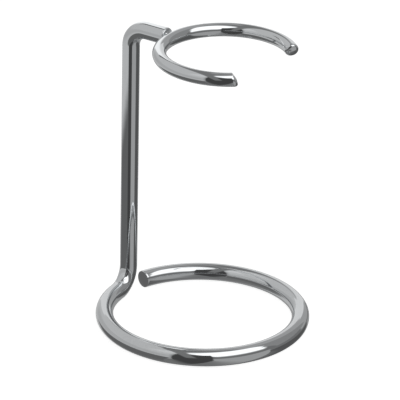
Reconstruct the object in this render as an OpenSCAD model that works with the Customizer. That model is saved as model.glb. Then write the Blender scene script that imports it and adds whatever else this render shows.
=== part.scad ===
// Wire stand that a shaving brush hangs in, bristles down, to dry.
// The base ring stands on z = 0 with its centre at the origin. The upright is at the back (+Y),
// and the arm and the brush ring's mouth point to the front (-Y).

/* [Frame rod] */
// Diameter of the rod that makes the base ring, the upright and the arm
rod_d = 6; // [5:0.1:7]
// Radius of the base ring, to the middle of the rod
base_r = 33.6; // [32:0.1:40]
// Angle at which the rod leaves the base ring and starts to turn up, counted from the right (+X)
turn_up_angle = 97; // [90:1:105]
// Radius of the bend at the foot of the upright, to the middle of the rod
foot_bend_r = 7.5; // [6:0.1:9]
// Clear gap between the upright and the rod's free end
end_gap = 2.6; // [1:0.1:6]

/* [Upright and arm] */
// Length of the upright's straight stretch
upright_h = 82.1; // [60:0.1:110]
// Radius of the bend over the upright, to the middle of the rod
top_bend_r = 6.6; // [6:0.1:8]
// Distance from the upright's axis to the middle of the brush ring
arm_reach = 39.4; // [38:0.1:44]

/* [Brush ring] */
// Diameter of the thinner rod that makes the brush ring
ring_rod_d = 4.7; // [4:0.1:5]
// Radius of the brush ring, to the middle of its rod
brush_r = 22.3; // [18:0.1:23]
// Angle of the mouth that the brush's neck goes in through
mouth_angle = 93; // [70:1:110]
// Slant of the cut at the ring's two ends, away from a square cut
end_slant = 30; // [0:1:35]
// How far the ring's rod lies below the arm's axis where they meet
ring_drop = 0.3; // [0:0.1:0.6]

/* [Weld] */
// Gap between the arm's square end and the ring, which the weld fills
weld_gap = 0.1; // [0.05:0.05:0.3]
// How far the weld bead stands proud of the arm
bead_proud = 0.3; // [0.2:0.1:0.6]
// How far in front of the arm's end the middle of the bead lies
bead_front = 0.4; // [0.3:0.1:0.8]

/* [Hidden] */
$fn = 96;

rod_r = rod_d / 2;
ring_rod_r = ring_rod_d / 2;

// The base ring stays open by the angle that the foot bend, the upright and the gap take up.
open_angle = asin((foot_bend_r + rod_r + end_gap) / base_r);

// The upright starts where the foot bend has turned straight up, and ends where the top bend starts.
upright_z0 = rod_r + foot_bend_r;
upright_z1 = upright_z0 + upright_h;

// The arm is level, and stops just short of the ring.
arm_z = upright_z1 + top_bend_r;
arm_len = arm_reach - brush_r - ring_rod_r - weld_gap - top_bend_r;
ring_z = arm_z - ring_drop;

// A length of rod bent round the Z axis, from one angle through a turn.
module bent_rod(bend_r, r, from, turn) {
    rotate_extrude(angle = turn, start = from)
        translate([bend_r, 0])
            circle(r);
}

// Puts its children where the rod leaves the base ring, with X pointing out and Y along the ring.
module at_turn_up() {
    rotate([0, 0, turn_up_angle])
        translate([base_r, 0, 0])
            children();
}

// Puts its children on the upright's axis at floor level, with Y pointing to the back.
module at_upright() {
    at_turn_up()
        translate([0, -foot_bend_r, 0])
            rotate([0, 0, -turn_up_angle])
                children();
}

// Puts its children on the arm's axis, at a distance from the arm's start, with Z along the arm.
module on_arm(along) {
    at_upright()
        translate([0, -top_bend_r - along, arm_z])
            rotate([90, 0, 0])
                children();
}

module base_bend() {
    translate([0, 0, rod_r])
        rotate([0, 0, turn_up_angle])
            bent_rod(base_r, rod_r, 0, 360 - open_angle);
}

module foot_bend() {
    at_turn_up()
        translate([0, 0, upright_z0])
            rotate([90, 0, -90])
                bent_rod(foot_bend_r, rod_r, -90, 90);
}

module upright() {
    at_upright()
        translate([0, 0, upright_z0])
            cylinder(h = upright_z1 - upright_z0, r = rod_r);
}

module top_bend() {
    at_upright()
        translate([0, -top_bend_r, upright_z1])
            rotate([90, 0, -90])
                bent_rod(top_bend_r, rod_r, 90, 90);
}

module arm() {
    on_arm(0)
        cylinder(h = arm_len, r = rod_r);
}

// Puts its children at the middle of the brush ring.
module at_ring() {
    at_upright()
        translate([0, -arm_reach, ring_z])
            children();
}

// The ring's rod, longer at both ends than the finished ring by some degrees.
module ring_rod(extra) {
    at_ring()
        bent_rod(brush_r, ring_rod_r, mouth_angle / 2 - 90 - extra, 360 - mouth_angle + 2 * extra);
}

// The waste past one end of the ring's rod: side is 1 at the left-hand end and -1 at the right-hand
// end. The two cuts are parallel, so one end is cut back on top and the other underneath.
module end_waste(side) {
    waste = 3 * ring_rod_d;
    at_ring()
        rotate([0, 0, -90 - side * mouth_angle / 2])
            translate([brush_r, 0, 0])
                rotate([end_slant, 0, 0])
                    translate([0, side * waste / 2, 0])
                        cube(waste, center = true);
}

// The stretch of the frame rod that lies on the floor and turns up.
module foot() {
    base_bend();
    foot_bend();
}

// The stretch that stands, turns over and ends as the arm.
module stem() {
    upright();
    top_bend();
    arm();
}

module frame_rod() {
    color("silver") {
        foot();
        stem();
    }
}

module brush_ring() {
    cut_allowance = 5;
    color("silver")
        difference() {
            ring_rod(cut_allowance);
            end_waste(-1);
            end_waste(1);
        }
}

module ring_weld() {
    color("gainsboro")
        difference() {
            on_arm(arm_len + bead_front)
                sphere(r = rod_r + bead_proud);
            arm();
            ring_rod(0);
        }
}

frame_rod();
brush_ring();
ring_weld();
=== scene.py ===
"""Finished look of a chromed wire stand for a shaving brush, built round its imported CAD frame."""

import math

import bmesh
import bpy
from bpy.props import FloatProperty, FloatVectorProperty, IntProperty, PointerProperty
from mathutils import Matrix, Vector


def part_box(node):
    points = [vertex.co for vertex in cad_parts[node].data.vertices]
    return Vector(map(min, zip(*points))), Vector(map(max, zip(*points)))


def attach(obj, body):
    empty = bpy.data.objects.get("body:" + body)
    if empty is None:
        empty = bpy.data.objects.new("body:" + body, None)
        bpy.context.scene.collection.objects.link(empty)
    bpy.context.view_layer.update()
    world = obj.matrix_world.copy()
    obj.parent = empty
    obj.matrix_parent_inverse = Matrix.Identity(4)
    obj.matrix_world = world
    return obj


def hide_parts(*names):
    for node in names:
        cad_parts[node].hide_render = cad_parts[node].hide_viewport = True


bl_info = {
    "name": "Shaving Brush Stand",
    "version": (1, 0, 0),
    "blender": (4, 5, 0),
    "location": "View3D > Sidebar > Brush Stand",
    "description": "Builds a chromed wire stand for a shaving brush, with its studio",
    "category": "Add Mesh",
}

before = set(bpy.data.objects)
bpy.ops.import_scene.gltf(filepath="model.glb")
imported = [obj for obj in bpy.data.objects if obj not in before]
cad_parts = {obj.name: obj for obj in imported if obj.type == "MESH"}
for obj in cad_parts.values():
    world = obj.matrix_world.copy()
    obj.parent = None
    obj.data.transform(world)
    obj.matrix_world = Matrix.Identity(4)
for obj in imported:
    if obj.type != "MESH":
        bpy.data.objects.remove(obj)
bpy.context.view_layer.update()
FRAME_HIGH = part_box("frame_rod")[1]
RING_LOW, RING_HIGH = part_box("brush_ring")
WELD_LOW, WELD_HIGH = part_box("ring_weld")

UP = Vector((0, 0, 1))
FRONT = Vector((0, -1, 0))
RIGHT = Vector((1, 0, 0))
QUARTER_TURN = math.pi / 2
FULL_TURN = math.tau

# Lengths in metres that the bead and the arm share
WELD_GAP = 0.0001
ARM_EDGE = 0.00012

# Share of the end slant that a ring's end has before it is rounded
START_SLANT_SHARE = 0.4
# How far past each end the ring is bent before it is cut, and how far round the cut faces are looked for
SPARE_ANGLE = math.radians(6)
CUT_REACH_IN_RODS = 5

# Steps that each part of a rod is made in
BASE_STEPS = 340
BEND_STEPS = 28
UPRIGHT_STEPS = 40
ARM_STEPS = 6
RING_STEPS = 280
EDGE_STEPS = 4
TIP_STEPS = 10
DOME_STEPS = 6
BEAD_STEPS = 64

# Profile of the weld bead: distance in front of the arm's end in metres, radius as a share of the arm's
BEAD_OUTLINE = (
    (-0.0012, 0.90),
    (-0.0003, 0.95),
    (0.0000, 0.985),
    (0.0002, 0.975),
    (0.00035, 0.945),
    (0.00043, 0.90),
    (0.00046, 0.80),
    (0.00048, 0.68),
    (0.00056, 0.60),
    (0.0008, 0.50),
    (0.0012, 0.42),
    (0.0020, 0.30),
    (0.0024, 0.0),
)


# Sizes and finishes


class StandSizes(bpy.types.PropertyGroup):
    """Sizes of the rods, their bends and their ends."""

    rod_diameter: FloatProperty(
        name="Rod Diameter",
        description="Diameter of the rod that makes the base ring, the upright and the arm",
        default=0.006,
        min=0.004,
        max=0.008,
        subtype="DISTANCE",
        unit="LENGTH",
    )
    top_bend_radius: FloatProperty(
        name="Top Bend Radius",
        description="Radius of the bend over the upright, to the middle of the rod",
        default=0.0066,
        min=0.005,
        max=0.009,
        subtype="DISTANCE",
        unit="LENGTH",
    )
    end_gap: FloatProperty(
        name="End Gap",
        description="Clear gap between the upright and the free end of the base ring",
        default=0.0026,
        min=0.001,
        max=0.006,
        subtype="DISTANCE",
        unit="LENGTH",
    )
    free_end_edge: FloatProperty(
        name="Free End Edge",
        description="How far the edge of the square-cut free end is broken",
        default=0.00022,
        min=0.0001,
        max=0.001,
        subtype="DISTANCE",
        unit="LENGTH",
    )
    mouth_angle: FloatProperty(
        name="Mouth Angle",
        description="Angle of the mouth that the neck of the brush goes in through",
        default=math.radians(93),
        min=math.radians(70),
        max=math.radians(110),
        subtype="ANGLE",
        unit="ROTATION",
    )
    end_slant: FloatProperty(
        name="End Slant",
        description="Slant of the cuts at the two ends of the brush ring",
        default=math.radians(30),
        min=0,
        max=math.radians(35),
        subtype="ANGLE",
        unit="ROTATION",
    )
    left_tip_rounding: FloatProperty(
        name="Left Tip Rounding",
        description="How far polishing has rounded the left end of the brush ring",
        default=0.00105,
        min=0.0009,
        max=0.0018,
        subtype="DISTANCE",
        unit="LENGTH",
    )
    right_tip_rounding: FloatProperty(
        name="Right Tip Rounding",
        description="How far polishing has rounded the right end of the brush ring",
        default=0.0010,
        min=0.0009,
        max=0.0018,
        subtype="DISTANCE",
        unit="LENGTH",
    )
    tip_dome: FloatProperty(
        name="Tip Dome",
        description="How far the faces of the two ends stand out in the middle",
        default=0.00025,
        min=0,
        max=0.001,
        subtype="DISTANCE",
        unit="LENGTH",
    )
    rod_sides: IntProperty(
        name="Rod Sides",
        description="Faces round the rods",
        default=64,
        min=24,
        max=96,
    )


class StandFinish(bpy.types.PropertyGroup):
    """Colours and polish of the chrome plate."""

    chrome_colour: FloatVectorProperty(
        name="Chrome",
        description="Colour of clean bright chrome plate",
        default=(0.705, 0.722, 0.735),
        size=3,
        min=0,
        max=1,
        subtype="COLOR",
    )
    dull_colour: FloatVectorProperty(
        name="Dulled Chrome",
        description="Colour of the plate where it is smudged or thin",
        default=(0.680, 0.695, 0.706),
        size=3,
        min=0,
        max=1,
        subtype="COLOR",
    )
    polish: FloatProperty(
        name="Polish",
        description="Roughness of the brightest plate",
        default=0.035,
        min=0,
        max=0.3,
        subtype="FACTOR",
    )
    smudge: FloatProperty(
        name="Smudge",
        description="Roughness added where the plate is smudged",
        default=0.06,
        min=0,
        max=0.5,
        subtype="FACTOR",
    )


class StandStage(bpy.types.PropertyGroup):
    """Camera, floor and studio light."""

    camera_azimuth: FloatProperty(
        name="Camera Azimuth",
        description="Direction that the camera looks in, turned from the back (+Y) towards the left",
        default=math.radians(-54.67),
        subtype="ANGLE",
        unit="ROTATION",
    )
    camera_elevation: FloatProperty(
        name="Camera Elevation",
        description="Height of the camera above the horizon, as an angle",
        default=math.radians(24.24),
        subtype="ANGLE",
        unit="ROTATION",
    )
    camera_roll: FloatProperty(
        name="Camera Roll",
        description="Turn of the camera about its line of sight",
        default=math.radians(1.18),
        subtype="ANGLE",
        unit="ROTATION",
    )
    camera_distance: FloatProperty(
        name="Camera Distance",
        description="Distance from the camera to the point that it looks at",
        default=1.2146,
        min=0.3,
        subtype="DISTANCE",
        unit="LENGTH",
    )
    camera_target: FloatVectorProperty(
        name="Camera Target",
        description="The point that the camera looks at",
        default=(-0.0023, 0.0004, 0.0463),
        size=3,
        subtype="TRANSLATION",
        unit="LENGTH",
    )
    camera_lens: FloatProperty(
        name="Camera Lens",
        description="Focal length in millimetres on a 36 mm sensor",
        default=324,
        min=20,
    )
    floor_colour: FloatVectorProperty(
        name="Floor",
        description="Colour of the pale floor",
        default=(0.90, 0.90, 0.90),
        size=3,
        min=0,
        max=1,
        subtype="COLOR",
    )
    floor_glow: FloatProperty(
        name="Floor Glow",
        description="Light that comes up through the floor, which keeps the shadows faint",
        default=0.82,
        min=0,
        max=2,
    )


# Where things are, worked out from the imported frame


class Layout:
    """Places that the bends, the arm and the brush ring share, in metres."""

    def __init__(self, sizes):
        self.rod_r = sizes.rod_diameter / 2
        self.base_r = FRAME_HIGH.x - self.rod_r
        self.ring_rod_r = (RING_HIGH.z - RING_LOW.z) / 2
        self.arm_z = FRAME_HIGH.z - self.rod_r
        self.upright = Vector(((WELD_LOW.x + WELD_HIGH.x) / 2, FRAME_HIGH.y - self.rod_r, 0))
        self.foot_bend_r = math.sqrt(self.upright.length_squared - self.base_r**2)
        self.turn_up_angle = math.atan2(self.upright.y, self.upright.x) + math.atan(
            self.foot_bend_r / self.base_r
        )
        self.open_angle = math.asin((self.foot_bend_r + self.rod_r + sizes.end_gap) / self.base_r)
        self.upright_low = self.rod_r + self.foot_bend_r
        self.upright_high = self.arm_z - sizes.top_bend_radius
        self.brush_r = RING_HIGH.x - self.upright.x - self.ring_rod_r
        self.ring_centre = Vector(
            (
                self.upright.x,
                RING_HIGH.y - self.ring_rod_r - self.brush_r,
                (RING_LOW.z + RING_HIGH.z) / 2,
            )
        )
        self.arm_end_y = RING_HIGH.y + WELD_GAP


def on_circle(centre, radius, angle):
    """Point on a level circle, at an angle counted from the right."""
    return centre + radius * Vector((math.cos(angle), math.sin(angle), 0))


# Rod work


def edges_of(geometry):
    return [item for item in geometry if isinstance(item, bmesh.types.BMEdge)]


def verts_of(geometry):
    return [item for item in geometry if isinstance(item, bmesh.types.BMVert)]


def carry_on(bm, profile):
    """Extrudes an open profile on the spot, and returns the new one."""
    grown = bmesh.ops.extrude_edge_only(bm, edges=edges_of(profile))["geom"]
    return [*verts_of(grown), *edges_of(grown)]


def start_rod(bm, radius, sides, centre, direction):
    """Open profile of a rod, square to its direction."""
    place = Matrix.Translation(centre) @ direction.to_track_quat("Z", "Y").to_matrix().to_4x4()
    verts = bmesh.ops.create_circle(
        bm, cap_ends=False, segments=sides, radius=radius, matrix=place
    )["verts"]
    edges = {edge for vert in verts for edge in vert.link_edges}
    return [*verts, *edges]


def bend_rod(bm, profile, centre, axis, angle, steps):
    """Carries the rod round a bend and returns its new end."""
    return bmesh.ops.spin(
        bm,
        geom=profile,
        cent=centre,
        axis=axis,
        angle=angle,
        steps=steps,
        use_merge=False,
        use_duplicate=False,
    )["geom_last"]


def run_rod(bm, profile, run, steps):
    """Carries the rod straight on and returns its new end."""
    for _ in range(steps):
        profile = carry_on(bm, profile)
        bmesh.ops.translate(bm, verts=verts_of(profile), vec=run / steps)
    return profile


def close_end(bm, profile, along, rounding, steps):
    """Rounds the rim of a cut end over and closes it. The rim stands back along the rod by the rounding."""
    verts = verts_of(profile)
    centre = sum((vert.co for vert in verts), Vector()) / len(verts)
    reach = sum((vert.co - centre).length for vert in verts) / len(verts)
    size, travel = 1.0, 0.0
    for step in range(1, steps + 1):
        turn = QUARTER_TURN * step / steps
        new_size = 1 - rounding * (1 - math.cos(turn)) / reach
        new_travel = rounding * math.sin(turn)
        profile = carry_on(bm, profile)
        verts = verts_of(profile)
        to_centre = Matrix.Translation(-(centre + along * travel))
        bmesh.ops.scale(bm, verts=verts, vec=(new_size / size,) * 3, space=to_centre)
        bmesh.ops.translate(bm, verts=verts, vec=along * (new_travel - travel))
        size, travel = new_size, new_travel
    bmesh.ops.edgeloop_fill(bm, edges=edges_of(profile))


def round_tip(bm, rim, tip, along, face, dome, steps):
    """Rounds a cut tip over into its slanted face, most where it is sharp, and closes it with a dome."""
    start = bm.verts.layers.float_vector["start"]
    for vert in verts_of(rim):
        vert[start] = vert.co
    for step in range(1, steps + 1):
        turn = QUARTER_TURN * step / steps
        rim = carry_on(bm, rim)
        for vert in verts_of(rim):
            reach = (tip - vert[start]).dot(face) / along.dot(face)
            inward = (tip - vert[start] - along * reach).normalized()
            out = along * math.sin(turn) + inward * (1 - math.cos(turn))
            vert.co = vert[start] + out * reach
    for vert in verts_of(rim):
        vert[start] = vert.co
    for step in range(1, DOME_STEPS):
        share = 1 - step / DOME_STEPS
        rim = carry_on(bm, rim)
        for vert in verts_of(rim):
            vert.co = tip + (vert[start] - tip) * share + face * dome * (1 - share**2)
    bmesh.ops.edgeloop_fill(bm, edges=edges_of(rim))


def cut_end(bm, near, reach, normal):
    """Cuts the rod's end off at a plane through a point, and returns the open rim."""
    faces = [face for face in bm.faces if (face.calc_center_median() - near).length < reach]
    edges = {edge for face in faces for edge in face.edges}
    verts = {vert for face in faces for vert in face.verts}
    return bmesh.ops.bisect_plane(
        bm,
        geom=[*verts, *edges, *faces],
        dist=1e-7,
        plane_co=near,
        plane_no=normal,
        clear_outer=True,
    )["geom_cut"]


def make_piece(bm, name, node, material):
    """Turns a finished mesh into a piece that rides on the stand in place of its CAD node."""
    bmesh.ops.remove_doubles(bm, verts=bm.verts, dist=1e-6)
    bmesh.ops.recalc_face_normals(bm, faces=bm.faces)
    for face in bm.faces:
        face.smooth = True
    mesh = bpy.data.meshes.new(name)
    bm.to_mesh(mesh)
    bm.free()
    mesh.materials.append(material)
    piece = bpy.data.objects.new(name, mesh)
    bpy.context.scene.collection.objects.link(piece)
    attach(piece, "root")
    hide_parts(node)
    return piece


# Chrome


def new_group(name, inputs, outputs):
    """Empty shader node group with named float inputs, a vector input and float outputs."""
    group = bpy.data.node_groups.new(name, "ShaderNodeTree")
    group.interface.new_socket("Vector", in_out="INPUT", socket_type="NodeSocketVector")
    for label, value in inputs.items():
        socket = group.interface.new_socket(label, in_out="INPUT", socket_type="NodeSocketFloat")
        socket.default_value = value
    for label in outputs:
        group.interface.new_socket(label, in_out="OUTPUT", socket_type="NodeSocketFloat")
    return group, group.nodes.new("NodeGroupInput"), group.nodes.new("NodeGroupOutput")


def add_node(tree, kind, values=None, **settings):
    """A node with its settings, and its inputs linked or set."""
    node = tree.nodes.new(kind)
    for label, value in settings.items():
        setattr(node, label, value)
    for label, value in (values or {}).items():
        socket = node.inputs[label]
        if isinstance(value, bpy.types.NodeSocket):
            tree.links.new(value, socket)
        else:
            socket.default_value = value
    return node


def math_node(tree, operation, first, second):
    """Result of a Math node."""
    return add_node(
        tree, "ShaderNodeMath", {0: first, 1: second}, operation=operation
    ).outputs["Value"]


def ramp_node(tree, value, low, high):
    """Smooth step of a value from low to high."""
    return add_node(
        tree,
        "ShaderNodeMapRange",
        {"Value": value, "From Min": low, "From Max": high},
        interpolation_type="SMOOTHSTEP",
    ).outputs["Result"]


def plating_waves_group():
    """Slow waves that the plate keeps from the rod under it."""
    tree, inside, outside = new_group("Plating waves", {"Size": 220.0}, ["Height"])
    slow = add_node(
        tree,
        "ShaderNodeTexNoise",
        {"Vector": inside.outputs["Vector"], "Scale": inside.outputs["Size"], "Detail": 2.0},
    )
    tree.links.new(slow.outputs["Fac"], outside.inputs["Height"])
    return tree


def polishing_lines_group():
    """Hairlines that the polishing wheel leaves, in two crossing directions."""
    tree, inside, outside = new_group(
        "Polishing lines", {"Fineness": 900.0, "Stretch": 14.0}, ["Height"]
    )
    heights = []
    for turn in (Vector((0.35, 0.2, 0.5)), Vector((-0.4, 0.6, -0.9))):
        stretch = add_node(
            tree,
            "ShaderNodeCombineXYZ",
            {"X": 1.0, "Y": inside.outputs["Stretch"], "Z": inside.outputs["Stretch"]},
        )
        turned = add_node(
            tree,
            "ShaderNodeMapping",
            {"Vector": inside.outputs["Vector"], "Rotation": turn},
        )
        stretched = add_node(
            tree,
            "ShaderNodeVectorMath",
            {0: turned.outputs["Vector"], 1: stretch.outputs["Vector"]},
            operation="MULTIPLY",
        )
        fineness = math_node(
            tree, "DIVIDE", inside.outputs["Fineness"], inside.outputs["Stretch"]
        )
        lines = add_node(
            tree,
            "ShaderNodeTexNoise",
            {"Vector": stretched.outputs["Vector"], "Scale": fineness, "Detail": 3.0},
        )
        heights.append(lines.outputs["Fac"])
    height = math_node(tree, "MULTIPLY", math_node(tree, "ADD", *heights), 0.5)
    tree.links.new(height, outside.inputs["Height"])
    return tree


def smudges_group():
    """Patches where the plate has been handled, with a finer break-up inside them."""
    tree, inside, outside = new_group("Handling smudges", {"Size": 70.0, "Cover": 0.5}, ["Mask"])
    patches = add_node(
        tree,
        "ShaderNodeTexNoise",
        {"Vector": inside.outputs["Vector"], "Scale": inside.outputs["Size"], "Detail": 4.0},
    )
    low = math_node(tree, "SUBTRACT", 0.95, inside.outputs["Cover"])
    patch_mask = ramp_node(tree, patches.outputs["Fac"], low, math_node(tree, "ADD", low, 0.2))
    breakup = add_node(
        tree,
        "ShaderNodeTexNoise",
        {
            "Vector": inside.outputs["Vector"],
            "Scale": math_node(tree, "MULTIPLY", inside.outputs["Size"], 14.0),
            "Detail": 3.0,
        },
    )
    fine_mask = ramp_node(tree, breakup.outputs["Fac"], 0.35, 0.65)
    mask = math_node(tree, "MULTIPLY", patch_mask, fine_mask)
    tree.links.new(mask, outside.inputs["Mask"])
    return tree


def shared_group(name, build):
    """The named node group, built when it is first asked for."""
    return bpy.data.node_groups.get(name) or build()


def chrome_material(name, finish, wave_depth, line_depth, roughness_added=0.0):
    """Bright chrome plate. The depths are in metres."""
    material = bpy.data.materials.new(name)
    material.use_nodes = True
    tree = material.node_tree
    tree.nodes.clear()
    place = add_node(tree, "ShaderNodeTexCoord").outputs["Object"]
    waves = add_node(
        tree,
        "ShaderNodeGroup",
        node_tree=shared_group("Plating waves", plating_waves_group),
    )
    lines = add_node(
        tree,
        "ShaderNodeGroup",
        node_tree=shared_group("Polishing lines", polishing_lines_group),
    )
    smudges = add_node(
        tree,
        "ShaderNodeGroup",
        node_tree=shared_group("Handling smudges", smudges_group),
    )
    for group_node in (waves, lines, smudges):
        tree.links.new(place, group_node.inputs["Vector"])
    colour = add_node(
        tree,
        "ShaderNodeMix",
        {
            "Factor": smudges.outputs["Mask"],
            6: (*finish.chrome_colour, 1),
            7: (*finish.dull_colour, 1),
        },
        data_type="RGBA",
    )
    roughness = add_node(
        tree,
        "ShaderNodeMapRange",
        {
            "Value": smudges.outputs["Mask"],
            "To Min": finish.polish + roughness_added,
            "To Max": finish.polish + roughness_added + finish.smudge,
        },
    )
    wave_bump = add_node(
        tree,
        "ShaderNodeBump",
        {"Height": waves.outputs["Height"], "Strength": 1.0, "Distance": wave_depth},
    )
    line_bump = add_node(
        tree,
        "ShaderNodeBump",
        {
            "Height": lines.outputs["Height"],
            "Strength": 1.0,
            "Distance": line_depth,
            "Normal": wave_bump.outputs["Normal"],
        },
    )
    plate = add_node(
        tree,
        "ShaderNodeBsdfPrincipled",
        {
            "Base Color": colour.outputs[2],
            "Metallic": 1.0,
            "Roughness": roughness.outputs["Result"],
            "Normal": line_bump.outputs["Normal"],
        },
    )
    add_node(tree, "ShaderNodeOutputMaterial", {"Surface": plate.outputs["BSDF"]})
    return material


# The three pieces


class STAND_OT_frame_rod(bpy.types.Operator):
    """Bend the frame rod: base ring, foot bend, upright, top bend and arm in one length"""

    bl_idname = "stand.frame_rod"
    bl_label = "Frame Rod"
    bl_options = {"REGISTER", "UNDO"}

    def execute(self, context):
        sizes = context.scene.stand_sizes
        place = Layout(sizes)
        rod_level = Vector((0, 0, place.rod_r))
        free_end_angle = place.turn_up_angle - place.open_angle
        free_end = on_circle(rod_level, place.base_r, free_end_angle)
        set_back = sizes.free_end_edge / place.base_r
        start = on_circle(rod_level, place.base_r, free_end_angle - set_back)
        along = (free_end - rod_level).normalized().cross(UP)
        bm = bmesh.new()
        first = start_rod(bm, place.rod_r, sizes.rod_sides, start, along)
        base_turn = FULL_TURN - place.open_angle - set_back
        last = bend_rod(bm, first, rod_level, UP, -base_turn, BASE_STEPS)
        turn_up = on_circle(rod_level, place.base_r, place.turn_up_angle)
        outward = (turn_up - rod_level).normalized()
        last = bend_rod(
            bm,
            last,
            turn_up + UP * place.foot_bend_r,
            -outward,
            QUARTER_TURN,
            BEND_STEPS,
        )
        rise = UP * (place.upright_high - place.upright_low)
        last = run_rod(bm, last, rise, UPRIGHT_STEPS)
        top_centre = place.upright + FRONT * sizes.top_bend_radius + UP * place.upright_high
        last = bend_rod(bm, last, top_centre, RIGHT, QUARTER_TURN, BEND_STEPS)
        arm_length = place.upright.y - sizes.top_bend_radius - place.arm_end_y
        last = run_rod(bm, last, FRONT * (arm_length - 2 * ARM_EDGE), ARM_STEPS)
        last = run_rod(bm, last, FRONT * ARM_EDGE, 1)
        close_end(bm, last, FRONT, ARM_EDGE, EDGE_STEPS)
        close_end(bm, first, -along, sizes.free_end_edge, EDGE_STEPS)
        chrome = chrome_material(
            "Frame chrome", context.scene.stand_finish, wave_depth=4e-6, line_depth=6e-8
        )
        make_piece(bm, "bent_frame_rod", "frame_rod", chrome)
        return {"FINISHED"}


class STAND_OT_brush_ring(bpy.types.Operator):
    """Form the open ring that holds the brush by its neck, with both ends cut and polished round"""

    bl_idname = "stand.brush_ring"
    bl_label = "Brush Ring"
    bl_options = {"REGISTER", "UNDO"}

    def execute(self, context):
        sizes = context.scene.stand_sizes
        place = Layout(sizes)
        front_angle = -QUARTER_TURN
        half_mouth = sizes.mouth_angle / 2
        bm = bmesh.new()
        start_layer = bm.verts.layers.float_vector.new("start")
        start_angle = front_angle + half_mouth - SPARE_ANGLE
        start = on_circle(place.ring_centre, place.brush_r, start_angle)
        along = UP.cross((start - place.ring_centre).normalized())
        first = start_rod(bm, place.ring_rod_r, sizes.rod_sides, start, along)
        turn = FULL_TURN - sizes.mouth_angle + 2 * SPARE_ANGLE
        bend_rod(bm, first, place.ring_centre, UP, turn, RING_STEPS)
        for side, rounding in ((-1, sizes.right_tip_rounding), (1, sizes.left_tip_rounding)):
            angle = front_angle - side * half_mouth
            tip = on_circle(place.ring_centre, place.brush_r, angle)
            radial = (tip - place.ring_centre).normalized()
            along = side * UP.cross(radial)
            face = Matrix.Rotation(sizes.end_slant, 3, radial) @ along
            first_cut = Matrix.Rotation(sizes.end_slant * START_SLANT_SHARE, 3, radial) @ along
            reach = CUT_REACH_IN_RODS * place.ring_rod_r
            rim = cut_end(bm, tip - along * rounding, reach, first_cut)
            round_tip(bm, rim, tip, along, face, sizes.tip_dome, TIP_STEPS)
        bm.verts.layers.float_vector.remove(start_layer)
        chrome = chrome_material(
            "Ring chrome", context.scene.stand_finish, wave_depth=3e-6, line_depth=6e-8
        )
        make_piece(bm, "open_brush_ring", "brush_ring", chrome)
        return {"FINISHED"}


class STAND_OT_ring_weld(bpy.types.Operator):
    """Lay the weld bead that joins the arm to the back of the brush ring"""

    bl_idname = "stand.ring_weld"
    bl_label = "Ring Weld"
    bl_options = {"REGISTER", "UNDO"}

    def execute(self, context):
        place = Layout(context.scene.stand_sizes)
        arm_end = Vector((place.upright.x, place.arm_end_y, place.arm_z))
        bm = bmesh.new()
        previous = bm.verts.new(arm_end + FRONT * BEAD_OUTLINE[0][0])
        edges = []
        for ahead, share in BEAD_OUTLINE:
            vert = bm.verts.new(arm_end + FRONT * ahead + UP * place.rod_r * share)
            edges.append(bm.edges.new((previous, vert)))
            previous = vert
        bmesh.ops.spin(
            bm,
            geom=[*bm.verts, *edges],
            cent=arm_end,
            axis=FRONT,
            angle=FULL_TURN,
            steps=BEAD_STEPS,
            use_merge=True,
        )
        chrome = chrome_material(
            "Weld chrome",
            context.scene.stand_finish,
            wave_depth=6e-6,
            line_depth=1e-7,
            roughness_added=0.05,
        )
        make_piece(bm, "weld_bead", "ring_weld", chrome)
        return {"FINISHED"}


# Stage

CARD_UV = "card_spread"

# Grey cards round the stand, which only reflections see. Angles are in degrees.
WALL_CARDS = (
    # name, azimuths, elevations, tone, distance, softness where it isn't the usual
    ("card_left_wall", (-50, 98), (-27, 71), 0.60, 0.70),
    ("card_left_wall_foot", (-30, 98), (-14, 24), 0.50, 0.69, (0.1, 0.4)),
    ("card_left_wall_glow", (55, 97), (24, 68), 0.72, 0.68, (0.3, 0.3)),
    ("card_dark_gap", (94, 138), (-27, 50), 0.065, 0.67),
    ("card_right_front_wall", (134, 206), (4, 24), 0.20, 0.69),
    ("card_right_front_skirt", (134, 200), (-12, 7), 0.42, 0.70),
    ("card_right_wall", (206, 262), (8, 62), 0.30, 0.69),
    ("card_right_back_wall", (246, 325), (-5, 66), 0.42, 0.70),
    ("card_backdrop", (283, 330), (-6, 30), 0.80, 0.68),
)
LOW_CARDS = (
    # name, azimuths, radius, depth, tone, softness, middle
    ("card_low_left", (-18, 97), 0.320, 0.054, 0.15, (0.08, 0.18), (-0.018, 0.010)),
    ("card_low_dark_gap", (95, 141), 0.7, 0.100, 0.065, (0.08, 0.03), (-0.033, 0.008)),
    ("card_low_right_front", (130, 198), 0.7, 0.101, 0.42, (0.1, 0.03), (0, 0)),
    ("card_low_right", (190, 264), 0.7, 0.102, 0.11, (0.1, 0.03), (0, 0)),
    ("card_low_right_back", (255, 324), 0.7, 0.103, 0.36, (0.1, 0.03), (0, 0)),
    ("card_low_back", (316, 354), 0.7, 0.104, 0.58, (0.15, 0.03), (0, 0)),
)
ARM_CARDS = (
    # name, low edge and high edge (right of the arm, above the arm), ends along Y, tone
    ("card_arm_white", (0.026, -0.014), (0.014, 0.0350), (0.026, 0.076), 1.15),
    ("card_arm_trim", (0.014, 0.0355), (0.006, 0.0370), (0.028, 0.080), 0.10),
)
HOOP_FOOT_AZIMUTH = math.radians(118)
HOOP_TILT = math.radians(77)
SOFTBOX_AZIMUTH = math.radians(170)
SOFTBOX_CARD_ELEVATION = math.radians(59)
SOFTBOX_CARD_DISTANCE = 0.95
SOFTBOX_LAMP_ELEVATION = math.radians(60)
SOFTBOX_LAMP_DISTANCE = 1.0
BACKDROP_STRENGTH = 1.1
ROOM_STRENGTH = 0.2


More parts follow.
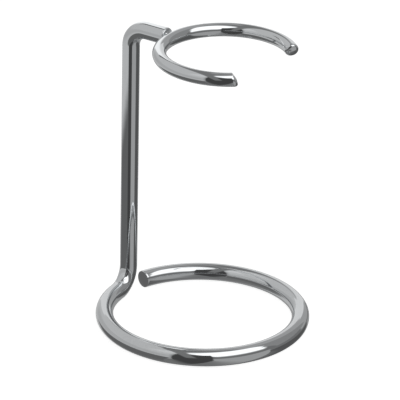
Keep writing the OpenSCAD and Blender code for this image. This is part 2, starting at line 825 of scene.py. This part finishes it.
def stage_object(name, bm, material):
    """Turns a finished mesh into a piece of the stage."""
    mesh = bpy.data.meshes.new(name)
    bm.to_mesh(mesh)
    bm.free()
    mesh.materials.append(material)
    prop = bpy.data.objects.new(name, mesh)
    bpy.context.scene.collection.objects.link(prop)
    return prop


def floor_material(colour, glow):
    """Pale matt floor with a very faint mottle, lit from below as well."""
    material = bpy.data.materials.new("Pale floor")
    material.use_nodes = True
    tree = material.node_tree
    plain = tree.nodes["Principled BSDF"]
    place = add_node(tree, "ShaderNodeTexCoord").outputs["Object"]
    mottle = add_node(tree, "ShaderNodeTexNoise", {"Vector": place, "Scale": 6.0})
    shade = add_node(
        tree,
        "ShaderNodeMix",
        {
            "Factor": mottle.outputs["Fac"],
            6: (*colour, 1),
            7: (*(0.98 * Vector(colour)), 1),
        },
        data_type="RGBA",
    )
    tree.links.new(shade.outputs[2], plain.inputs["Base Color"])
    plain.inputs["Roughness"].default_value = 1.0
    plain.inputs["Specular IOR Level"].default_value = 0.0
    plain.inputs["Emission Color"].default_value = (1, 1, 1, 1)
    plain.inputs["Emission Strength"].default_value = glow
    return material


def card_material(name, tone, softness):
    """Plain card, as bright as its tone, that fades out towards its four edges."""
    material = bpy.data.materials.new(name)
    material.use_nodes = True
    tree = material.node_tree
    tree.nodes.clear()
    spread = add_node(tree, "ShaderNodeUVMap", uv_map=CARD_UV).outputs["UV"]
    sides = add_node(tree, "ShaderNodeSeparateXYZ", {"Vector": spread})
    mask = 1.0
    for axis, soft in zip("XY", softness):
        along = sides.outputs[axis]
        rising = ramp_node(tree, along, 0.0, soft)
        falling = ramp_node(tree, along, 1.0, 1.0 - soft)
        mask = math_node(tree, "MULTIPLY", mask, math_node(tree, "MULTIPLY", rising, falling))
    glow = add_node(tree, "ShaderNodeEmission", {"Color": (tone, tone, tone, 1)})
    clear = add_node(tree, "ShaderNodeBsdfTransparent")
    faded = add_node(
        tree,
        "ShaderNodeMixShader",
        {0: mask, 1: clear.outputs["BSDF"], 2: glow.outputs["Emission"]},
    )
    add_node(tree, "ShaderNodeOutputMaterial", {"Surface": faded.outputs["Shader"]})
    return material


def show_to_reflections_only(prop):
    prop.visible_camera = False
    prop.visible_diffuse = False
    prop.visible_shadow = False
    prop.visible_transmission = False
    prop.visible_volume_scatter = False


def card(name, low_end, high_end, azimuths, tone, softness, place=Matrix()):
    """Card swept round the Z axis between two azimuths, from an edge drawn at azimuth 0, then placed."""
    first, last = (math.radians(azimuth) for azimuth in azimuths)
    bm = bmesh.new()
    start, end = bm.verts.new(low_end), bm.verts.new(high_end)
    edge = bm.edges.new((start, end))
    bmesh.ops.spin(
        bm, geom=[start, end, edge], cent=(0, 0, 0), axis=UP, angle=last - first, steps=48
    )
    spread = bm.loops.layers.uv.new(CARD_UV)
    for loop in (loop for face in bm.faces for loop in face.loops):
        corner = loop.vert.co
        turned = math.atan2(-corner.x, corner.y) % FULL_TURN
        across = (Vector((0, corner.xy.length, corner.z)) - low_end).length
        loop[spread].uv = (turned / (last - first), across / (high_end - low_end).length)
    bmesh.ops.rotate(bm, verts=bm.verts, matrix=Matrix.Rotation(first, 3, "Z"))
    bmesh.ops.transform(bm, verts=bm.verts, matrix=place)
    show_to_reflections_only(stage_object(name, bm, card_material(name, tone, softness)))


def wall_card(name, azimuths, elevations, tone, distance=0.7, softness=(0.06, 0.05), place=Matrix()):
    """Upright card round the stand, with its edges given as elevations seen from the base."""
    low, high = (
        Vector((0, distance, distance * math.tan(math.radians(elevation))))
        for elevation in elevations
    )
    card(name, low, high, azimuths, tone, softness, place)


def low_card(name, azimuths, radius, depth, tone, softness, middle=(0, 0)):
    """Level card under the floor, from its middle out to a radius."""
    card(
        name,
        Vector((0, 0, 0)),
        Vector((0, radius, 0)),
        azimuths,
        tone,
        softness,
        Matrix.Translation((*middle, -depth)),
    )


def flat_card(name, middle, facing, size, tone, softness):
    """Flat card round its middle, square to the way it faces, with its width level."""
    turned = facing.to_track_quat("Z", "Y").to_matrix().to_4x4()
    bm = bmesh.new()
    bm.loops.layers.uv.new(CARD_UV)
    bmesh.ops.create_grid(
        bm,
        x_segments=1,
        y_segments=1,
        size=0.5,
        matrix=Matrix.Translation(middle) @ turned @ Matrix.Diagonal((*size, 1, 1)),
        calc_uvs=True,
    )
    show_to_reflections_only(stage_object(name, bm, card_material(name, tone, softness)))


def direction(azimuth, elevation):
    """Direction from the stand, azimuth 0 being the back and 90 the left."""
    across = Vector((0, math.cos(elevation), math.sin(elevation)))
    return Matrix.Rotation(azimuth, 3, "Z") @ across


class STAND_OT_stage(bpy.types.Operator):
    """Set the floor, the soft studio light and the camera"""

    bl_idname = "stand.stage"
    bl_label = "Stage"
    bl_options = {"REGISTER", "UNDO"}

    def execute(self, context):
        stage = context.scene.stand_stage
        self.set_floor(stage)
        self.set_cards()
        self.set_softbox()
        self.set_world(context.scene)
        self.set_camera(context.scene, stage)
        context.scene.view_settings.view_transform = "Standard"
        return {"FINISHED"}

    def set_floor(self, stage):
        bm = bmesh.new()
        bmesh.ops.create_grid(bm, x_segments=8, y_segments=8, size=3.0)
        floor = stage_object("floor", bm, floor_material(stage.floor_colour, stage.floor_glow))
        floor.visible_glossy = False

    def set_cards(self):
        for wall in WALL_CARDS:
            wall_card(*wall)
        for low in LOW_CARDS:
            low_card(*low)
        wall_card(
            "card_dark_hoop",
            (-30, 112),
            (-7, 7),
            0.22,
            distance=0.6,
            softness=(0.1, 0.25),
            place=Matrix.Rotation(-HOOP_TILT, 4, direction(HOOP_FOOT_AZIMUTH, 0)),
        )
        towards = direction(SOFTBOX_AZIMUTH, SOFTBOX_CARD_ELEVATION)
        flat_card(
            "card_softbox",
            towards * SOFTBOX_CARD_DISTANCE,
            -towards,
            size=(1.12, 1.32),
            tone=1.55,
            softness=(0.12, 0.28),
        )
        arm = Vector((WELD_LOW.x + WELD_HIGH.x, 0, WELD_LOW.z + WELD_HIGH.z)) / 2
        for name, low, high, ends, tone in ARM_CARDS:
            low_edge = arm + Vector((low[0], 0, low[1]))
            high_edge = arm + Vector((high[0], 0, high[1]))
            rise = high_edge - low_edge
            middle = (low_edge + high_edge) / 2 + Vector((0, sum(ends) / 2, 0))
            facing = rise.cross(Vector((0, 1, 0)))
            size = (ends[1] - ends[0], rise.length)
            flat_card(name, middle, facing, size, tone, (0.28, 0.02))

    def set_softbox(self):
        light = bpy.data.lights.new("softbox", "AREA")
        light.shape = "SQUARE"
        light.size = 1.1
        light.energy = 2
        towards = direction(SOFTBOX_AZIMUTH, SOFTBOX_LAMP_ELEVATION)
        lamp = bpy.data.objects.new("softbox", light)
        lamp.location = towards * SOFTBOX_LAMP_DISTANCE
        lamp.rotation_euler = towards.to_track_quat("Z", "Y").to_euler()
        lamp.visible_camera = False
        lamp.visible_glossy = False
        bpy.context.scene.collection.objects.link(lamp)

    def set_world(self, scene):
        world = bpy.data.worlds.new("Studio")
        scene.world = world
        world.use_nodes = True
        tree = world.node_tree
        tree.nodes.clear()
        path = add_node(tree, "ShaderNodeLightPath")
        backdrop, room = (
            add_node(tree, "ShaderNodeBackground", {"Color": (1, 1, 1, 1), "Strength": strength})
            for strength in (BACKDROP_STRENGTH, ROOM_STRENGTH)
        )
        mix = add_node(
            tree,
            "ShaderNodeMixShader",
            {
                0: path.outputs["Is Camera Ray"],
                1: room.outputs["Background"],
                2: backdrop.outputs["Background"],
            },
        )
        add_node(tree, "ShaderNodeOutputWorld", {"Surface": mix.outputs["Shader"]})

    def set_camera(self, scene, stage):
        data = bpy.data.cameras.new("camera")
        data.lens = stage.camera_lens
        data.sensor_width = 36
        data.clip_start = 0.01
        data.clip_end = 20
        camera = bpy.data.objects.new("camera", data)
        azimuth, elevation = stage.camera_azimuth, stage.camera_elevation
        back = Vector(
            (
                math.sin(azimuth) * math.cos(elevation),
                -math.cos(azimuth) * math.cos(elevation),
                math.sin(elevation),
            )
        )
        camera.location = Vector(stage.camera_target) + back * stage.camera_distance
        camera.rotation_mode = "QUATERNION"
        level = (-back).to_track_quat("-Z", "Y").to_matrix()
        camera.rotation_quaternion = (
            level @ Matrix.Rotation(stage.camera_roll, 3, "Z")
        ).to_quaternion()
        scene.collection.objects.link(camera)
        scene.camera = camera


# Panel and registration


class VIEW3D_PT_brush_stand(bpy.types.Panel):
    """Sizes, finishes and steps of the stand"""

    bl_idname = "VIEW3D_PT_brush_stand"
    bl_label = "Brush Stand"
    bl_space_type = "VIEW_3D"
    bl_region_type = "UI"
    bl_category = "Brush Stand"

    def draw(self, context):
        scene = context.scene
        for group in (scene.stand_sizes, scene.stand_finish, scene.stand_stage):
            box = self.layout.box()
            for name in type(group).__annotations__:
                box.prop(group, name)
        for step in STEPS:
            self.layout.operator(step.bl_idname)


STEPS = (STAND_OT_stage, STAND_OT_frame_rod, STAND_OT_brush_ring, STAND_OT_ring_weld)
CLASSES = (StandSizes, StandFinish, StandStage, *STEPS, VIEW3D_PT_brush_stand)


def register():
    for cls in CLASSES:
        bpy.utils.register_class(cls)
    bpy.types.Scene.stand_sizes = PointerProperty(type=StandSizes)
    bpy.types.Scene.stand_finish = PointerProperty(type=StandFinish)
    bpy.types.Scene.stand_stage = PointerProperty(type=StandStage)


def unregister():
    del bpy.types.Scene.stand_stage
    del bpy.types.Scene.stand_finish
    del bpy.types.Scene.stand_sizes
    for cls in reversed(CLASSES):
        bpy.utils.unregister_class(cls)


def main():
    register()
    bpy.ops.stand.stage()
    bpy.ops.stand.frame_rod()
    bpy.ops.stand.brush_ring()
    bpy.ops.stand.ring_weld()


if __name__ == "__main__":
    main()
